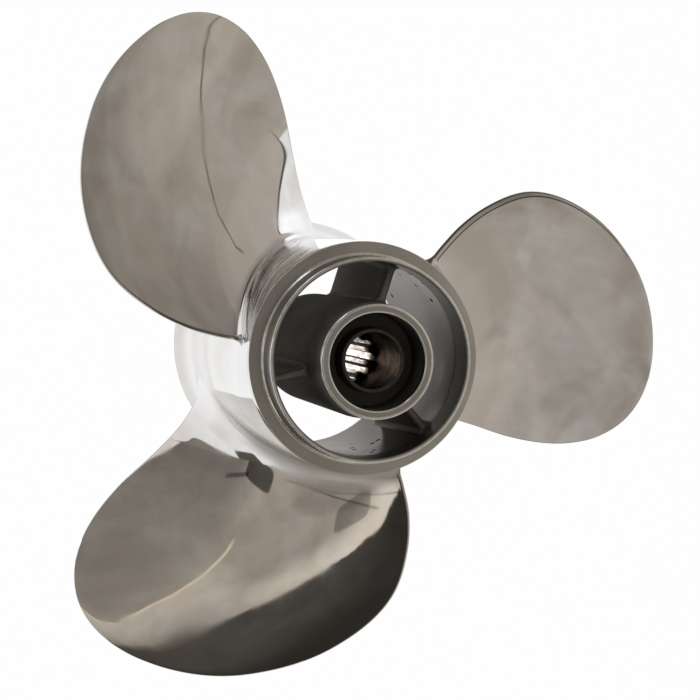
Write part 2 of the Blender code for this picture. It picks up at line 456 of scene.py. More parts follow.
def bump(tree, height, strength, distance, under=None):
    node = add_node(tree, "ShaderNodeBump")
    put(tree, node.inputs["Height"], height)
    put(tree, node.inputs["Strength"], strength)
    put(tree, node.inputs["Distance"], distance)
    if under is not None:
        put(tree, node.inputs["Normal"], under)
    return node.outputs[0]


def split(tree, vector):
    """The x, y and z of a vector."""
    node = add_node(tree, "ShaderNodeSeparateXYZ")
    put(tree, node.inputs[0], vector)
    return node.outputs


def combine(tree, x, y=0.0):
    """A vector with no z."""
    node = add_node(tree, "ShaderNodeCombineXYZ")
    put(tree, node.inputs[0], x)
    put(tree, node.inputs[1], y)
    return node.outputs[0]


def object_place(tree):
    return add_node(tree, "ShaderNodeTexCoord").outputs["Object"]


def stretched_place(tree, scales):
    """The object's own place with each axis scaled."""
    node = add_node(tree, "ShaderNodeVectorMath", operation="MULTIPLY")
    put(tree, node.inputs[0], object_place(tree))
    put(tree, node.inputs[1], scales)
    return node.outputs[0]


def millimetres(tree, metres):
    return product(tree, metres, 1 / MM)


def shaft_radius(tree):
    """Distance from the shaft axis, in metres."""
    x, y, _ = split(tree, object_place(tree))
    return calc(tree, "SQRT", total(tree, product(tree, x, x), product(tree, y, y)))


def degrees_round(tree, x, y):
    """Direction round the shaft, in degrees from 0 to 360."""
    turn = calc(tree, "DEGREES", calc(tree, "ARCTAN2", y, x))
    return calc(tree, "MODULO", total(tree, turn, 360.0), 360.0)


def oval_power(tree, value, half_size):
    """How far out a value is: 0 in the middle, 1 at half_size, and rising fast past it."""
    return calc(tree, "POWER", calc(tree, "ABSOLUTE", calc(tree, "DIVIDE", value, half_size)), 5.0)


def sector(tree, azimuth, middle, half_width, soft=0.25):
    """A soft-edged range of directions round the shaft, from 0 outside to 1 inside."""
    across = oval_power(tree, minus(tree, azimuth, middle), half_width)
    return ramp(tree, across, 1.0 + soft, 1.0 - soft)


def spot(tree, azimuth, height, middle, half_sizes, lean=0.0, soft=0.25):
    """A soft oval patch of the surroundings, from 0 outside to 1 inside.

    A lean tilts it, in degrees up for each degree across.
    """
    across = minus(tree, azimuth, middle[0])
    up = minus(tree, minus(tree, height, middle[1]), product(tree, across, lean))
    out = total(tree, oval_power(tree, across, half_sizes[0]), oval_power(tree, up, half_sizes[1]))
    return ramp(tree, out, 1.0 + soft, 1.0 - soft)


def shaded(colour, shade):
    """A colour times a shade."""
    return (*(value * shade for value in colour), 1.0)


def plain_to_camera(tree, tone):
    """White where the camera looks straight at it, and tone in what the metal mirrors."""
    seen = add_node(tree, "ShaderNodeLightPath").outputs["Is Camera Ray"]
    return blend(tree, seen, tone, CAMERA_WHITE)


def new_material(name, metallic, roughness):
    material = bpy.data.materials.new(name)
    material.use_nodes = True
    tree = material.node_tree
    shader = tree.nodes["Principled BSDF"]
    shader.inputs["Metallic"].default_value = metallic
    shader.inputs["Roughness"].default_value = roughness
    return material, tree, shader


# Materials

def wall_distance(tree, height):
    """Millimetres out from the straight part of the barrel wall, for a height in millimetres."""
    wall = minus(tree, WALL_R, product(tree, height, WALL_TAPER))
    return minus(tree, millimetres(tree, shaft_radius(tree)), wall)


def streak_fan(tree, azimuth, height):
    """Millimetres across the fan of streaks at blade 1's root, and the same as a share of its width."""
    across = minus(tree, height, product(tree, azimuth, PITCH / 360))
    across = total(tree, across, STREAK_OFFSET)
    width = product(tree, minus(tree, STREAK_END, azimuth), STREAK_SPREAD)
    return across, calc(tree, "DIVIDE", across, greatest(tree, width, STREAK_LEAST_WIDTH))


def grinding_marks(tree, azimuth, height, distance):
    """Streaks on the barrel along the root of blade 1.

    Gives the streaks, where they lie, the painted highlight lines among them, and where a line follows the
    fillet.
    """
    across, share = streak_fan(tree, azimuth, height)
    place = combine(tree, product(tree, share, 8.0), product(tree, azimuth, 0.05))
    streaks = noise(tree, place, 1.0, detail=3.0, roughness=0.68, distortion=0.3)
    along = band(tree, azimuth, (124.0, 138.0), (188.0, 190.0))
    inside = product(tree, along, fall(tree, distance, 0.8, 1.4), ramp(tree, across, -2.0, 0.0))
    root_line = product(tree, along, ramp(tree, across, -6.0, -4.0))
    # Painted highlight lines: at the foot of the fillet, through the fan, and where the streaks are high.
    foot = product(tree, thin_line(tree, distance, 1.0, 0.15, 0.3), root_line)
    wobble = total(tree, share, product(tree, streaks, 0.2))
    through = thin_line(tree, wobble, 0.72, 0.02, 0.05, 0.9)
    lines = greatest(tree, through, ramp(tree, streaks, 0.56, 0.60, 0.0, 0.7))
    return streaks, inside, greatest(tree, product(tree, lines, inside), foot), root_line


def dark_marks(tree, streaks, marks, root_line, azimuth, distance):
    """Dark streaks in the fan, the grinding marks painted with dark reflections, and a painted shade line
    beside the painted highlight at the foot of the fillet.
    """
    beside = thin_line(tree, distance, 1.7, 0.15, 0.3, 0.8)
    beside = product(tree, beside, ramp(tree, azimuth, 140.0, 160.0), root_line)
    return greatest(tree, product(tree, marks, ramp(tree, streaks, 0.39, 0.42, 0.9, 0.0)), beside)


def smudged_tint(tree, where, distance):
    """Cloudy polish, with brown stains away from the barrel."""
    clouds = noise(tree, where, 34.0, detail=3.0, roughness=0.5, distortion=0.5)
    tint = blend(tree, ramp(tree, clouds, 0.32, 0.68), (0.60, 0.565, 0.52, 1.0), (0.675, 0.665, 0.65, 1.0))
    stains = noise(tree, where, 36.0, detail=3.0, roughness=0.5, distortion=0.3)
    stains = product(tree, ramp(tree, stains, 0.50, 0.66, 0.0, 0.65), ramp(tree, distance, 6.0, 20.0))
    return blend(tree, stains, tint, (0.50, 0.46, 0.41, 1.0))


def flare_hollow_highlight(tree, height, distance):
    """A painted highlight in the hollow beside the flare, weaker close to the rim."""
    hollow = product(tree, fall(tree, height, 26.0, 40.0), fall(tree, distance, 5.5, 8.0))
    return product(tree, hollow, ramp(tree, height, 2.0, 8.0, 0.4, 1.0))


def root_highlight(tree, azimuth, height, distance):
    """A painted highlight, almost white, on the root ahead of the streaks."""
    buffed = product(tree, band(tree, azimuth, (98.0, 106.0), (122.0, 132.0)), ramp(tree, height, 20.0, 32.0))
    return product(tree, buffed, fall(tree, distance, 6.0, 12.0))


def root_shade_mask(tree, height, distance, strength):
    """Painted shade in the root fillet, reaching further out towards the forward end."""
    root_shade = ramp(tree, distance, 1.5, ramp(tree, height, 50.0, 75.0, 5.0, 10.0), strength, 0.0)
    return product(tree, root_shade, ramp(tree, height, 38.0, 54.0))


def polish_roughness(tree, where, height, distance, marks, root_shade):
    """Mirror polish with smears, dulled by the grinding marks, where the root fillet is painted in shade, and
    by buffing on the flare.
    """
    smears = noise(tree, where, 60.0, detail=4.0, roughness=0.6)
    flare = product(tree, fall(tree, height, 30.0, 46.0), fall(tree, distance, 6.0, 9.0))
    dull = greatest(tree, product(tree, marks, 0.12), product(tree, root_shade, 0.55), product(tree, flare, 0.30))
    return total(tree, ramp(tree, smears, 0.4, 0.75, 0.035, 0.10), dull)


def polished_steel(name, root_shade_depth):
    """Hand-polished stainless: soft waves, smudges, stains and marks at one root, with painted shade and
    painted highlights.
    """
    material, tree, shader = new_material(name, 1.0, 0.05)
    where = object_place(tree)
    x, y, z = split(tree, where)
    azimuth, height = degrees_round(tree, x, y), millimetres(tree, z)
    distance = wall_distance(tree, height)
    root_shade = root_shade_mask(tree, height, distance, root_shade_depth)
    streaks, marks, bright, root_line = grinding_marks(tree, azimuth, height, distance)
    # Painted light and shade over the tint: highlights in the flare hollow, at the root and on the lines;
    # shade in the root fillet and the dark lines.
    layers = (
        (flare_hollow_highlight(tree, height, distance), (0.80, 0.785, 0.77, 1.0)),
        (root_shade, (0.42, 0.40, 0.37, 1.0)),
        (product(tree, marks, 0.8), (0.66, 0.65, 0.65, 1.0)),
        (dark_marks(tree, streaks, marks, root_line, azimuth, distance), DARK_LINE),
        (root_highlight(tree, azimuth, height, distance), HIGHLIGHT_WHITE),
        (bright, HIGHLIGHT_WHITE),
    )
    tint = smudged_tint(tree, where, distance)
    for mask, colour in layers:
        tint = blend(tree, mask, tint, colour)
    put(tree, shader.inputs["Base Color"], tint)
    # Less metal on the painted highlight lines, so that they show white.
    put(tree, shader.inputs["Metallic"], opposite(tree, product(tree, bright, 0.75)))
    put(tree, shader.inputs["Roughness"], polish_roughness(tree, where, height, distance, marks, root_shade))
    waves = bump(tree, noise(tree, where, 26.0, detail=1.0), 0.3, 0.001)
    put(tree, shader.inputs["Normal"], bump(tree, product(tree, streaks, marks), 0.5, 0.0012, waves))
    return material


def ground_steel(name, shade):
    """Blade edges and the line along the bevel, left from the grinding wheel, in a dark tone that is partly
    painted shade.
    """
    material, tree, shader = new_material(name, 1.0, 0.3)
    nicks = noise(tree, object_place(tree), 300.0, detail=3.0)
    low, high = shaded((1.0, 0.97, 0.92), 0.75 * shade), shaded((1.0, 0.97, 0.93), 1.3 * shade)
    put(tree, shader.inputs["Base Color"], blend(tree, nicks, low, high))
    put(tree, shader.inputs["Normal"], bump(tree, nicks, 0.3, 0.0002))
    return material


def satin_steel(name, shade):
    """Turned faces: fine rings round the shaft and a satin sheen."""
    material, tree, shader = new_material(name, 1.0, 0.32)
    rings = noise(tree, combine(tree, shaft_radius(tree)), 2600.0, detail=3.0, roughness=0.7)
    clouds = noise(tree, object_place(tree), 60.0, detail=3.0)
    low, high = shaded((1.0, 0.955, 0.87), 0.90 * shade), shaded((1.0, 0.975, 0.915), 1.03 * shade)
    put(tree, shader.inputs["Base Color"], blend(tree, ramp(tree, clouds, 0.3, 0.7), low, high))
    put(tree, shader.inputs["Roughness"], ramp(tree, rings, 0.3, 0.7, 0.26, 0.40))
    put(tree, shader.inputs["Normal"], bump(tree, rings, 0.12, 0.0001))
    return material


def edge_steel():
    """Corners that the turning tool and handling have burnished bright."""
    material, tree, shader = new_material("burnished edge steel", 1.0, 0.09)
    nicks = noise(tree, object_place(tree), 400.0, detail=2.0)
    tint = blend(tree, ramp(tree, nicks, 0.3, 0.6), (0.80, 0.79, 0.77, 1.0), (0.93, 0.92, 0.90, 1.0))
    put(tree, shader.inputs["Base Color"], tint)
    put(tree, shader.inputs["Normal"], bump(tree, nicks, 0.2, 0.0002))
    return material


def casting_pits(tree, where, around, z, depth):
    """Small pits in scattered groups, on the wall unrolled flat."""
    cells = add_node(tree, "ShaderNodeTexVoronoi", voronoi_dimensions="2D")
    put(tree, cells.inputs["Vector"], combine(tree, product(tree, around, 33.0), product(tree, z, 600.0)))
    put(tree, cells.inputs["Scale"], 0.14)
    pits = ramp(tree, cells.outputs["Distance"], 0.09, 0.13, depth, 0.0)
    return product(tree, pits, ramp(tree, noise(tree, where, 45.0), 0.56, 0.60))


def cast_steel(name, shade, gloss, forward=1.0, pitted=0.0):
    """Dark as-cast surface with fine grain and clouds, and small pits where it is pitted.

    Gloss is its lowest roughness, and forward the share of its brightness left at the forward end.
    """
    material, tree, shader = new_material(name, 1.0, gloss)
    where = object_place(tree)
    x, y, z = split(tree, where)
    around = calc(tree, "ARCTAN2", y, x)
    clouds = noise(tree, where, 55.0, detail=4.0, roughness=0.6)
    low, high = shaded((1.0, 0.95, 0.9), 0.8 * shade), shaded((1.0, 0.96, 0.91), 1.25 * shade)
    tint = blend(tree, ramp(tree, clouds, 0.3, 0.72), low, high)
    # Painted shade darkens the forward end, most of all on one side.
    forward_shade = ramp(tree, z, 0.066, 0.092, 0.0, 1.0 - forward)
    shaded_side = band(tree, around, (-0.65, -0.5), (-0.12, 0.05))
    side_shade = product(tree, shaded_side, ramp(tree, z, 0.070, 0.090, 0.0, 1.0 - forward))
    pits = casting_pits(tree, where, around, z, pitted)
    for mask in (forward_shade, side_shade, pits):
        tint = blend(tree, mask, tint, BLACK)
    put(tree, shader.inputs["Base Color"], tint)
    put(tree, shader.inputs["Roughness"], total(tree, ramp(tree, clouds, 0.3, 0.7, gloss, gloss + 0.1), pits))
    grain = noise(tree, where, 900.0, detail=3.0, roughness=0.6)
    put(tree, shader.inputs["Normal"], bump(tree, grain, 0.15, 0.0002))
    return material


def rubber():
    """Dull dark rubber with a fine grain."""
    material, tree, shader = new_material("bushing rubber", 0.0, 0.75)
    grain = noise(tree, object_place(tree), 700.0, detail=3.0)
    tint = blend(tree, grain, (0.085, 0.082, 0.066, 1.0), (0.15, 0.145, 0.12, 1.0))
    put(tree, shader.inputs["Base Color"], tint)
    put(tree, shader.inputs["Roughness"], ramp(tree, grain, 0.3, 0.7, 0.6, 0.85))
    shader.inputs["Specular IOR Level"].default_value = 0.3
    put(tree, shader.inputs["Normal"], bump(tree, grain, 0.3, 0.0002))
    return material


def bore_steel():
    """Brown-tinted turned bore of the sleeve, scored in arcs round its depth."""
    material, tree, shader = new_material("turned bore steel", 1.0, 0.24)
    rings = noise(tree, stretched_place(tree, (0.25, 0.25, 1.0)), 480.0, detail=4.0, roughness=0.65)
    smears = noise(tree, object_place(tree), 190.0, detail=3.0)
    tint = blend(tree, ramp(tree, smears, 0.35, 0.65), (0.095, 0.093, 0.090, 1.0), (0.22, 0.217, 0.21, 1.0))
    tint = blend(tree, ramp(tree, rings, 0.56, 0.62, 0.0, 0.8), tint, (0.36, 0.33, 0.31, 1.0))
    put(tree, shader.inputs["Base Color"], tint)
    shader.inputs["Specular Tint"].default_value = (0.35, 0.30, 0.27, 1.0)
    put(tree, shader.inputs["Normal"], bump(tree, rings, 1.0, 0.001))
    return material


def spline_steel(name, shade):
    """Broached splines with lines along them, brown where grease has dried."""
    material, tree, shader = new_material(name, 1.0, 0.22)
    lines = noise(tree, stretched_place(tree, (1.0, 1.0, 0.15)), 900.0, detail=3.0, roughness=0.6)
    brown, clean = shaded((0.34, 0.27, 0.21), shade), shaded((1.0, 0.97, 0.94), shade)
    put(tree, shader.inputs["Base Color"], blend(tree, ramp(tree, lines, 0.40, 0.54), brown, clean))
    put(tree, shader.inputs["Normal"], bump(tree, lines, 0.2, 0.0002))
    return material


def oxide_steel():
    """Blackened end face of the sleeve, under a film of grease."""
    material, tree, shader = new_material("blackened steel", 1.0, 0.5)
    grain = noise(tree, object_place(tree), 600.0, detail=3.0)
    tint = blend(tree, grain, (0.05, 0.046, 0.042, 1.0), (0.14, 0.13, 0.12, 1.0))
    put(tree, shader.inputs["Base Color"], tint)
    put(tree, shader.inputs["Normal"], bump(tree, grain, 0.2, 0.0002))
    return material


# Pieces

def barrel(polished, satin, edge, dull, cast):
    outside = [*AFT_RIM, *wall_points(BARREL_OUTSIDE, *FLARE), *wall_points(BARREL_OUTSIDE, *STRAIGHT)]
    inside = [THROAT_START, *wall_points(BARREL_INSIDE, *THROAT), *wall_points(BARREL_INSIDE, *HOLLOW)]
    parts = [
        (outside, polished),
        (rounded(SHOULDER_EDGE), satin),
        (rounded(SPIGOT_FOOT), edge),
        # The spigot's side and end take a darker copy of the satin steel, as painted shade.
        (SPIGOT_SIDE, dull),
        (rounded(SPIGOT_LIP), edge),
        (rounded(SPIGOT_END), dull),
        (inside, cast),
        (RIM_FACE, polished),
    ]
    dress(turned("hub_barrel", parts, BARREL_SEGMENTS), "outer_hub")


def blade_height(radius, angle):
    out = radius - BLADE_ROOT_R
    return BLADE_MIDDLE_Z + BLADE_RAKE * out + BLADE_RAKE_CURVE * out**2 + PITCH * angle / (2 * math.pi)


def tip_reach(radius):
    """Rises to 0 at the tip. The blade's edges change evenly with it, so the outline stays round there."""
    return -np.sqrt(np.maximum(BLADE_TIP_R - radius, 0))


def blade_place(radius, near, far, turn, growth, bevel):
    """Angle and height of blade points.

    Near is millimetres in from the leading edge, far the share of the rest of the chord, and turn runs
    round the section from aft to forward. Bevel is 1 where the leading edge is ground back, or else 0.
    """
    rows = BLADE_STATIONS.copy()
    rows[:, 0] = tip_reach(rows[:, 0])
    station = smooth_rows(rows, tip_reach(radius))
    leading, trailing = np.radians(station[:, 1]), np.radians(station[:, 2])
    thickness = station[:, 3]
    slope = PITCH / (2 * math.pi * radius)
    along = np.sqrt(1 + slope**2)
    chord = (leading - trailing) * radius * along
    room = np.maximum(chord, 3 * NEAR_EDGE[-1])
    share = near / room + (1 - NEAR_EDGE[-1] / room) * far
    half = BLADE_EDGE + (thickness / 2 - BLADE_EDGE) * (1 - np.abs(2 * share - 1) ** BLADE_FULLNESS)
    ground = bevel * np.clip(1 - growth, 0, 1) * (1 - smooth_step((radius - BEVEL_FADE_R) / BEVEL_FADE))
    half -= ground * BEVEL_DROP * np.maximum(1 - share * room / BEVEL_WIDTH, 0)
    half -= ground * GROOVE_DEPTH * np.exp(-((share * room - BEVEL_WIDTH) / GROOVE_WIDTH) ** 2)
    swell = half + growth
    lift = BLADE_CAMBER * (chord / CAMBER_CHORD) ** 2 * 4 * share * (1 - share) + swell * np.sin(turn)
    reach = swell * np.cos(turn) / chord
    place = share + np.where(share < 0.5, -reach, reach)
    angle = leading + (trailing - leading) * place
    height = blade_height(radius, angle) + lift / along
    return angle - lift * slope / along / radius, height


def blade_rows(fillet):
    """Distance from the barrel and growth of each ring of the blade, from the root out."""
    span = BLADE_TIP_R - BLADE_ROOT_R - fillet
    steps = np.linspace(0, LAST_STEP, BLADE_STEPS)[1:]
    return fillet_rows(fillet, FILLET_RINGS) + [(fillet + span * math.sin(t * QUARTER), 0.0) for t in steps]


def blade_section():
    """Near, far and turn of the points round one section, the nose of the leading edge first."""
    nose = np.linspace(-QUARTER, QUARTER, NOSE_POINTS)
    rest = (0.5 - 0.5 * np.cos(np.linspace(FACE_START, math.pi, FACE_POINTS)))[1:-1]
    face_near = np.concatenate([NEAR_EDGE, np.full(len(rest), NEAR_EDGE[-1])])
    face_far = np.concatenate([0 * NEAR_EDGE, rest])
    near = np.concatenate([0 * nose, face_near, 0 * nose + NEAR_EDGE[-1], face_near[::-1]])
    far = np.concatenate([0 * nose, face_far, 0 * nose + 1, face_far[::-1]])
    turn = np.concatenate([nose, 0 * face_near + QUARTER, nose[::-1], 0 * face_near - QUARTER])
    return near, far, turn


def blade_ring(number, distance, growth, fillet, bevel, section):
    """Points of one ring of a blade. Near the root it follows the barrel wall."""
    near, far, turn = section
    hug = 1 - smooth_step((distance - fillet) / HUG_REACH)
    radius = np.full(len(near), BLADE_ROOT_R + distance)
    for _ in range(HUG_ROUNDS):
        angle, height = blade_place(radius, near, far, turn, growth, bevel)
        radius = hug * wall_radius(BARREL_OUTSIDE, height) + (1 - hug) * BLADE_ROOT_R + distance
    angle = angle + math.radians(FIRST_BLADE_DEGREES - (number - 1) * BLADE_SPACING)
    return ring_points(radius, angle, height)


def blade_finish(near, turn, bevel, spans):
    """Material of each face: 0 polished, 1 ground edge, 2 line along the bevel, 3 tip."""
    on_edge = (np.abs(turn) < QUARTER) & (np.abs(np.roll(turn, -1)) < QUARTER)
    # A blade without a bevel is ground only on a narrow line beside its forward face.
    if not bevel:
        on_edge &= turn > QUARTER / 3
    near_line = np.abs(near - BEVEL_WIDTH) < LINE_REACH
    face_finish = np.tile(on_edge + 2 * bevel * (near_line & np.roll(near_line, -1)), (spans, 1))
    face_finish[:EDGE_RING] = 0
    face_finish[SEAM_RING:EDGE_RING, SEAM_FACES] = 1
    face_finish[BEVEL_END_RING:][face_finish[BEVEL_END_RING:] == 2] = 0
    face_finish[TIP_RING:][face_finish[TIP_RING:] == 1] = 3
    return face_finish.ravel().tolist() + [3]


def blade(number, fillet, bevel, polished, ground, line, tip):
    section = blade_section()
    near, _, turn = section
    rings = [blade_ring(number, *row, fillet, bevel, section) for row in blade_rows(fillet)]
    faces = grid_faces(len(rings), len(near))
    last = (len(rings) - 1) * len(near)
    faces.append([last + i for i in range(len(near))])
    face_finish = blade_finish(near, turn, bevel, len(rings) - 1)
    materials = [polished, ground, line, tip]
    piece = new_mesh(f"propeller_blade_{number}", np.concatenate(rings), faces, materials, face_finish)
    dress(piece, f"blade_{number}")


def rib_outline():
    """Side and height of the points round a rib, its forward nose first."""
    half = RIB_THICKNESS / 2
    nose = np.linspace(0, math.pi, RIB_NOSE_POINTS)
    flank = np.full(RIB_SIDE_POINTS, half)
    side = np.concatenate([half * np.cos(nose), -flank, -half * np.cos(nose), flank])
    up = np.linspace(RIB_Z - half, RIB_AFT_Z + half, RIB_SIDE_POINTS + 2)[1:-1]
    forward, aft = RIB_Z - half + half * np.sin(nose), RIB_AFT_Z + half - half * np.sin(nose)
    return side, np.concatenate([forward, up, aft, up[::-1]])


def rib_ring(side, height, distance, growth, at_wall):
    """Points of one ring of the first rib, at a distance from the barrel wall or from the tube."""
    half, middle = RIB_THICKNESS / 2, (RIB_Z + RIB_AFT_Z) / 2
    x = side * (half + growth) / half
    z = middle + (height - middle) * (RIB_Z - middle - RIB_END_GROWTH * growth) / (RIB_Z - middle)
    tube = np.full(len(x), TUBE_BODY_R - RIB_SINK + distance)
    radius = wall_radius(BARREL_INSIDE, z) - distance if at_wall else tube
    return np.stack([x, np.sqrt(radius**2 - x**2), z], 1)


def rib(number, cast, nose_steel):
    side, height = rib_outline()
    fillet = fillet_rows(RIB_FILLET, RIB_FILLET_RINGS)
    rings = [rib_ring(side, height, *row, True) for row in fillet]
    rings += [rib_ring(side, height, *row, False) for row in fillet[::-1]]
    points = turned_round(np.concatenate(rings), (number - 1) * BLADE_SPACING)
    nose_faces = RIB_NOSE_POINTS - 1
    # The nose faces take their own copy of the steel, painted lighter or darker than the sides.
    face_finish = ([1] * nose_faces + [0] * (len(side) - nose_faces)) * (len(rings) - 1)
    piece = new_mesh(f"exhaust_rib_{number}", points, grid_faces(len(rings), len(side)), [cast, nose_steel], face_finish)
    dress(piece, f"rib_{number}")


def inner_tube(satin, edge, cast):
    body, forward, bore = TUBE_BODY_R, TUBE_FORWARD_R, TUBE_BORE_R
    outside = [(body - 1.2, TUBE_AFT_Z), (body - 0.3, TUBE_AFT_Z + 0.3), (body, TUBE_AFT_Z + 1.2)]
    outside += [(body, z) for z in np.linspace(40, SHOULDER_Z, 12)]
    outer = [(forward + 0.05, TUBE_Z - 1.2, 0.0), (forward, TUBE_Z, 0.45), (TUBE_FACE_OUTER_R, TUBE_Z, 0.0)]
    face = [(TUBE_FACE_OUTER_R - 0.1, TUBE_Z), (TUBE_FACE_INNER_R + 0.1, TUBE_Z)]
    inner = [(TUBE_FACE_INNER_R, TUBE_Z, 0.0), (bore, TUBE_Z, 0.35), (bore, TUBE_Z - 1, 0.0)]
    inside = [(bore, z) for z in np.linspace(TUBE_Z - 3, TUBE_AFT_Z, 12)]
    parts = [(outside, cast), (rounded(outer), edge), (face, satin), (rounded(inner), edge), (inside, cast)]
    dress(turned("inner_tube", parts, TUBE_SEGMENTS), "inner_hub")


def bushing(material):
    inside, outside = SLEEVE_R + BUSHING_GAP, TUBE_BORE_R - BUSHING_GAP
    profile = rounded([
        (outside, BUSHING_AFT_Z + 2, 0.0), (outside, BUSHING_Z, 0.8), (inside, BUSHING_Z, 0.5),
        (inside, BUSHING_AFT_Z, 0.4), (outside, BUSHING_AFT_Z, 0.6), (outside, BUSHING_AFT_Z + 1, 0.0),
    ])
    piece = turned("drive_bushing", [(profile, material)], BUSHING_SEGMENTS)
    dress(piece, "rubber_bushing")


def spline_teeth():
    """How far each point round the splines is up a tooth, from 0 in the groove to 1 on the land."""
    phase = (np.arange(SPLINE_TEETH * TOOTH_POINTS) % TOOTH_POINTS) / TOOTH_POINTS
    return smooth_step((TOOTH_HALF_WIDTH - np.abs(phase - 0.5)) / TOOTH_FLANK)


def sleeve(oxide, bore, bright, shaded_lands):
    tooth = spline_teeth()
    count = len(tooth)
    turns = np.arange(count) * 2 * math.pi / count
    spline = SPLINE_GROOVE_R + (SPLINE_LAND_R - SPLINE_GROOVE_R) * tooth
    head = rounded([
        (SLEEVE_R, SLEEVE_AFT_Z, 0.0), (SLEEVE_R, SLEEVE_Z, 0.35),
        (COUNTERBORE_R, SLEEVE_Z, 0.4), (COUNTERBORE_R, SLEEVE_Z - 1.5, 0.0),
    ])
    deep = [(COUNTERBORE_R, z) for z in np.linspace(SLEEVE_Z - 2.5, SPLINE_Z + 0.3, 14)]
    rings = [ring_points(r, turns, z) for r, z in head + deep]
    splined = [(SPLINE_Z, 0.3), (SPLINE_Z - 0.5, 0.0)] + [(z, 0.0) for z in np.linspace(80, SLEEVE_AFT_Z, 8)]
    for z, inset in splined:
        radius = np.minimum(spline + inset, COUNTERBORE_R)
        rings.append(ring_points(radius, turns + math.radians(SPLINE_TURN), z))
    faces = grid_faces(len(rings), count, closed_rows=True)
    # The grooves take a lit copy of the spline steel and the lands a shaded copy, as painted light and shade.
    teeth = [2 if t < 0.1 else 3 if t > 0.9 else 0 for t in tooth] * (len(splined) - 1)
    face_finish = [0] * (len(head) - 1) * count + [1] * (len(deep) + 1) * count + teeth + [0] * count
    piece = new_mesh("splined_sleeve", np.concatenate(rings), faces, [oxide, bore, bright, shaded_lands], face_finish)
    dress(piece, "spline_sleeve")


# Stage

def camera():
    data = bpy.data.cameras.new("camera")
    data.lens = LENS
    data.sensor_width = SENSOR
    data.clip_start = 0.01
    obj = bpy.data.objects.new("camera", data)
    obj.location = CAMERA_PLACE
    obj.rotation_euler = Euler([math.radians(degrees) for degrees in CAMERA_TURN])
    bpy.context.scene.collection.objects.link(obj)
    bpy.context.scene.camera = obj


def outer_floor(tree, radius, azimuth):
    """The floor past its white ground: dimmer far out and on one side, and lighter in one direction."""
    tone = blend(tree, ramp(tree, radius, 0.35, 1.2), (0.59, 0.55, 0.505, 1.0), (0.525, 0.486, 0.444, 1.0))
    tone = blend(tree, band(tree, azimuth, (55.0, 120.0), (200.0, 260.0), 0.45), tone, BLACK)
    return blend(tree, sector(tree, azimuth, 297.0, 20.0, soft=1.0), tone, (0.60, 0.555, 0.51, 1.0))


def white_ground(tree, tone, radius, azimuth, across, beside, reach):
    """The white ground, which ends at a straight edge on one side and is round on the other."""
    straight = product(tree, fall(tree, across, 0.0565, 0.0575), fall(tree, radius, 0.31, 0.33))
    near = blend(tree, beside, fall(tree, radius, 0.100, 0.106), straight)
    far_side = band(tree, azimuth, (122.0, 128.0), (248.0, 262.0))
    far_side = minus(tree, far_side, ramp(tree, minus(tree, radius, reach), 0.41, 0.47))
    dimmer = product(tree, ramp(tree, radius, 0.12, 0.24), ramp(tree, azimuth, 185.0, 225.0))
    white = blend(tree, dimmer, (1.11, 1.12, 1.14, 1.0), (0.84, 0.83, 0.82, 1.0))
    return blend(tree, greatest(tree, near, far_side), tone, white)


def floor_marks(tree, tone, radius, azimuth, across, beside, reach):
    """Dark shapes that the polished steel mirrors: a patch, a curved band, and a line of painted shadow at the
    straight edge.
    """
    patch = product(tree, sector(tree, azimuth, 178.3, 5.4), ramp(tree, radius, 0.64, 0.72))
    curve = thin_line(tree, minus(tree, radius, reach), 0.475, 0.010, 0.030, 0.7)
    line = thin_line(tree, across, 0.0578, 0.0004, 0.0010, 0.85)
    layers = (
        (patch, (0.12, 0.113, 0.106, 1.0)),
        (product(tree, curve, sector(tree, azimuth, 161.0, 13.0)), (0.10, 0.095, 0.09, 1.0)),
        (product(tree, line, beside), (0.03, 0.028, 0.026, 1.0)),
    )
    for mask, colour in layers:
        tone = blend(tree, mask, tone, colour)
    return tone


def floor_line(tree, tone, x, y, radius):
    """A thin dark line along the floor, which widens with distance and has a slight bend."""
    aside = minus(tree, product(tree, x, 0.857), product(tree, y, 0.515))
    aside = calc(tree, "ABSOLUTE", total(tree, aside, ramp(tree, y, 0.24, 0.40, 0.066, 0.080)))
    line = ramp(tree, calc(tree, "DIVIDE", aside, radius), 0.003, 0.007, 0.75, 0.0)
    return blend(tree, product(tree, line, ramp(tree, y, 0.27, 0.28)), tone, DARK_LINE)


def floor_under_barrel(tree, x, y, radius):
    """Light that comes in under the barrel from one side."""
    lit = blend(tree, ramp(tree, y, -0.022, -0.012), (0.45, 0.43, 0.41, 1.0), (0.35, 0.335, 0.32, 1.0))
    lit = blend(tree, ramp(tree, y, -0.008, 0.004), lit, (0.46, 0.44, 0.42, 1.0))
    lit = blend(tree, ramp(tree, radius, 0.019, 0.028), (0.24, 0.23, 0.22, 1.0), lit)
    tone = blend(tree, ramp(tree, x, 0.004, 0.012), (0.13, 0.123, 0.116, 1.0), lit)
    # A bright ring lights the splines, but not the barrel's bore beside them.
    shut = product(tree, ramp(tree, x, 0.0, 0.004), fall(tree, y, 0.0045, 0.006))
    ring = product(tree, fall(tree, radius, 0.0155, 0.0165), opposite(tree, shut))
    tone = blend(tree, ring, tone, (2.1, 1.96, 1.82, 1.0))
    return blend(tree, ramp(tree, radius, 0.0110, 0.0118), (2.4, 2.3, 2.2, 1.0), tone)


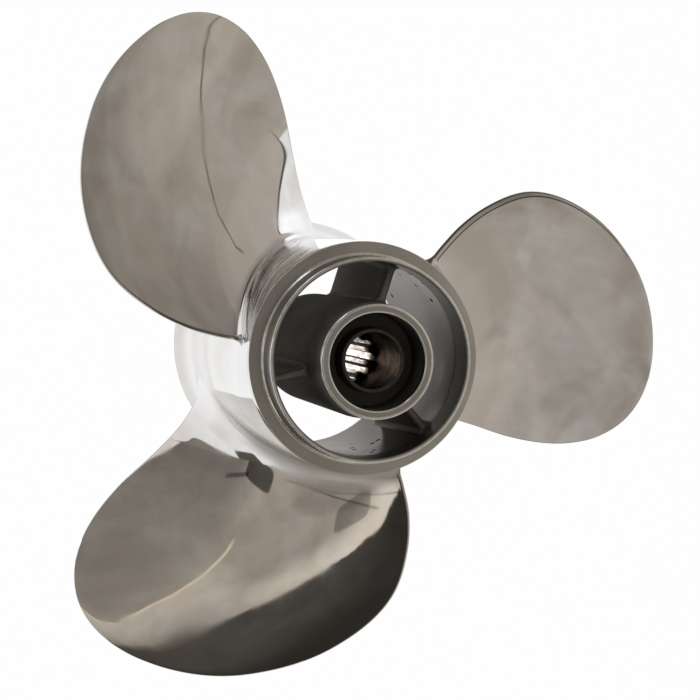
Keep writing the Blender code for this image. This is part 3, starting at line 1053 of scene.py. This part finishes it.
def floor():
    """A plain white floor. What it sends into the metal falls off with distance and under the barrel."""
    material = bpy.data.materials.new("floor")
    material.use_nodes = True
    tree = material.node_tree
    tree.nodes.clear()
    x, y, _ = split(tree, object_place(tree))
    radius, azimuth = shaft_radius(tree), degrees_round(tree, x, y)
    across = total(tree, product(tree, x, -0.574), product(tree, y, 0.819))
    across = minus(tree, across, ramp(tree, azimuth, 91.0, 96.0, 0.0, 0.012))
    beside = band(tree, azimuth, (20.0, 34.0), (120.0, 128.0))
    reach = product(tree, calc(tree, "POWER", minus(tree, azimuth, 159.3), 2.0), 0.0176)
    tone = outer_floor(tree, radius, azimuth)
    tone = white_ground(tree, tone, radius, azimuth, across, beside, reach)
    tone = floor_marks(tree, tone, radius, azimuth, across, beside, reach)
    tone = floor_line(tree, tone, x, y, radius)
    tone = blend(tree, ramp(tree, radius, 0.040, 0.044), floor_under_barrel(tree, x, y, radius), tone)
    emission = add_node(tree, "ShaderNodeEmission")
    put(tree, emission.inputs["Color"], plain_to_camera(tree, tone))
    output = add_node(tree, "ShaderNodeOutputMaterial")
    put(tree, output.inputs["Surface"], emission.outputs[0])
    signs = ((-1, -1), (1, -1), (1, 1), (-1, 1))
    corners = [(a * FLOOR_REACH, b * FLOOR_REACH, FLOOR_Z) for a, b in signs]
    new_mesh("floor", corners, [(0, 1, 2, 3)], [material])


def wall_level(tree, direction, x, y, height):
    """Brightness of the mottled walls, and overhead, where the light comes from one side."""
    clouds = noise(tree, direction, 5.0, detail=4.0, roughness=0.6, distortion=0.8)
    mottle = minus(tree, ramp(tree, clouds, 0.25, 0.75, 0.86, 1.14), 1.0)
    mottle = total(tree, product(tree, mottle, ramp(tree, height, 0.0, 10.0)), 1.0)
    level = product(tree, minus(tree, 0.52, product(tree, height, 0.003)), mottle)
    above = greatest(tree, total(tree, x, 0.07), 0.115)
    above = between(tree, fall(tree, y, -0.08, 0.10), above, 0.30)
    return between(tree, ramp(tree, height, 50.0, 60.0), level, above)


def dim_wall(tree, level, azimuth, height):
    """A dimmer wall, darkest near the floor, with a glow past its end."""
    dim = band(tree, azimuth, (52.0, 106.0), (172.0, 184.0))
    level = darker(tree, level, dim, ramp(tree, height, 2.0, 30.0, 0.55, 0.26))
    glow = band(tree, azimuth, (182.5, 183.5), (185.0, 199.0), 0.28)
    return total(tree, level, product(tree, glow, ramp(tree, height, 26.0, 44.0)))


def dark_side(tree, level, direction, azimuth, height):
    """One dark side with a bright strip beside it. The edge between them leans back as it rises."""
    edge = ramp(tree, height, 8.0, 24.0, 246.0, 234.0)
    edge = total(tree, edge, ramp(tree, height, 22.0, 46.0, 0.0, -32.0))
    edge = total(tree, edge, product(tree, noise(tree, direction, 14.0, detail=1.0), 5.0))
    past = minus(tree, azimuth, minus(tree, edge, 2.5))
    strip = product(tree, band(tree, past, (-22.0, -3.0), (-0.6, 0.6)), ramp(tree, height, 4.0, 12.0))
    strip = product(tree, strip, ramp(tree, height, 34.0, 48.0, 1.0, 0.1))
    level = total(tree, level, product(tree, strip, 0.48))
    away = minus(tree, azimuth, ramp(tree, height, 12.0, 34.0, 256.0, 284.0))
    shade = ramp(tree, past, ramp(tree, height, 42.0, 50.0, -0.6, -10.0), 1.0)
    shade = product(tree, shade, fall(tree, away, 0.0, 16.0), ramp(tree, height, 4.0, 9.0))
    shade = product(tree, shade, ramp(tree, height, 62.0, 78.0, 1.0, 0.4))
    return darker(tree, level, shade, ramp(tree, azimuth, 214.0, 240.0, 0.76, 0.90))


def wall_patches(tree, level, azimuth, height):
    """The level with its soft dark and bright patches, and where the cool patch lies."""
    for middle, half_sizes, lean, soft, depth in DARK_PATCHES:
        level = darker(tree, level, spot(tree, azimuth, height, middle, half_sizes, lean, soft), depth)
    cool = spot(tree, azimuth, height, *COOL_PATCH[:2], soft=1.0)
    level = total(tree, level, product(tree, cool, COOL_PATCH[2]))
    for middle, half_sizes, gain in WARM_PATCHES:
        warm = spot(tree, azimuth, height, middle, half_sizes, soft=1.0)
        level = total(tree, level, product(tree, warm, gain))
    return level, cool


def wall_lines(tree, tone, azimuth, height):
    """A white wedge that rises from the floor, a bright upright line, and thin dark lines."""
    wedge = total(tree, height, product(tree, minus(tree, azimuth, 148.7), 3.2))
    wedge = product(tree, fall(tree, wedge, -0.6, 0.6), ramp(tree, azimuth, 128.0, 134.0))
    tone = blend(tree, wedge, tone, (1.10, 1.09, 1.09, 1.0))
    upright = spot(tree, azimuth, height, (183.0, 38.0), (0.4, 11.0), soft=0.5)
    tone = blend(tree, upright, tone, (0.95, 0.80, 0.60, 1.0))
    for start, slope, bend, wide, (low, high) in THIN_LINES:
        lean = product(tree, height, total(tree, product(tree, height, bend), slope))
        line = thin_line(tree, azimuth, total(tree, lean, start), wide / 3, wide, 0.75)
        line = product(tree, line, band(tree, height, (low, low + 1.0), (high, high + 1.0)))
        tone = blend(tree, line, tone, DARK_LINE)
    return tone


def world():
    """Soft studio walls, darker overhead, with one dark side and a bright strip beside it."""
    surroundings = bpy.data.worlds.new("studio")
    bpy.context.scene.world = surroundings
    surroundings.use_nodes = True
    tree = surroundings.node_tree
    direction = add_node(tree, "ShaderNodeTexCoord").outputs["Generated"]
    x, y, z = split(tree, direction)
    azimuth = degrees_round(tree, x, y)
    height = calc(tree, "DEGREES", calc(tree, "ARCSINE", z))
    level = wall_level(tree, direction, x, y, height)
    level = dim_wall(tree, level, azimuth, height)
    level = dark_side(tree, level, direction, azimuth, height)
    level, cool = wall_patches(tree, level, azimuth, height)
    warmth = blend(tree, cool, (1.0, 0.922, 0.83, 1.0), (1.0, 0.95, 0.90, 1.0))
    tone = blend(tree, 1.0, warmth, level, mode="MULTIPLY")
    tone = wall_lines(tree, tone, azimuth, height)
    put(tree, tree.nodes["Background"].inputs["Color"], plain_to_camera(tree, tone))


def casting(edge):
    """The barrel, its blades and its ribs."""
    polished = polished_steel("polished stainless", 0.0)
    # Blade 3 takes a copy with painted shade in its root fillet.
    root_shaded = polished_steel("polished stainless, painted root shade", 0.7)
    satin = satin_steel("turned satin steel", 0.59)
    # A darker copy of the satin steel, painted shade for the spigot.
    dull = satin_steel("turned satin steel, painted shaded copy", 0.34)
    bore = cast_steel("cast bore steel", 0.125, 0.08, forward=0.28, pitted=1.0)
    barrel(polished, satin, edge, dull, bore)
    ground = ground_steel("ground edge steel", 0.32)
    # Blade 2's edges take a darker copy of the ground steel, as painted shade.
    shaded_edge_copy = ground_steel("ground edge steel, painted shaded copy", 0.15)
    line = ground_steel("grinding line steel", 0.08)
    blade(1, SMALL_FILLET, False, polished, ground, line, ground)
    blade(2, BLADE_FILLET, True, polished, shaded_edge_copy, line, shaded_edge_copy)
    blade(3, BLADE_FILLET, False, root_shaded, ground, line, edge)
    # Ribs 1 and 2 take a lighter copy of the cast steel and rib 3 a darker one, as painted light and shade;
    # each nose has its own copy, painted darker on ribs 1 and 2 and lighter on rib 3.
    lit_rib = cast_steel("rib steel, painted lit copy", 0.60, 0.5)
    lit_nose = cast_steel("rib nose steel, painted lit copy", 0.36, 0.6)
    rib(1, lit_rib, lit_nose)
    rib(2, lit_rib, lit_nose)
    rib(3, cast_steel("rib steel, painted shaded copy", 0.15, 0.5), cast_steel("rib nose steel, painted shaded copy", 0.30, 0.6))


def hub(edge):
    """The inner tube, the bushing and the sleeve."""
    inner_tube(satin_steel("turned hub steel", 0.50), edge, cast_steel("cast core steel", 0.31, 0.45))
    bushing(rubber())
    # Lit and shaded copies of the spline steel, painted light and shade for the grooves and the lands.
    bright = spline_steel("spline steel, painted lit copy", 0.9)
    shaded_lands = spline_steel("spline steel, painted shaded copy", 0.6)
    sleeve(oxide_steel(), bore_steel(), bright, shaded_lands)


def main():
    bpy.context.scene.view_settings.view_transform = "Standard"
    edge = edge_steel()
    casting(edge)
    hub(edge)
    camera()
    floor()
    world()


main()
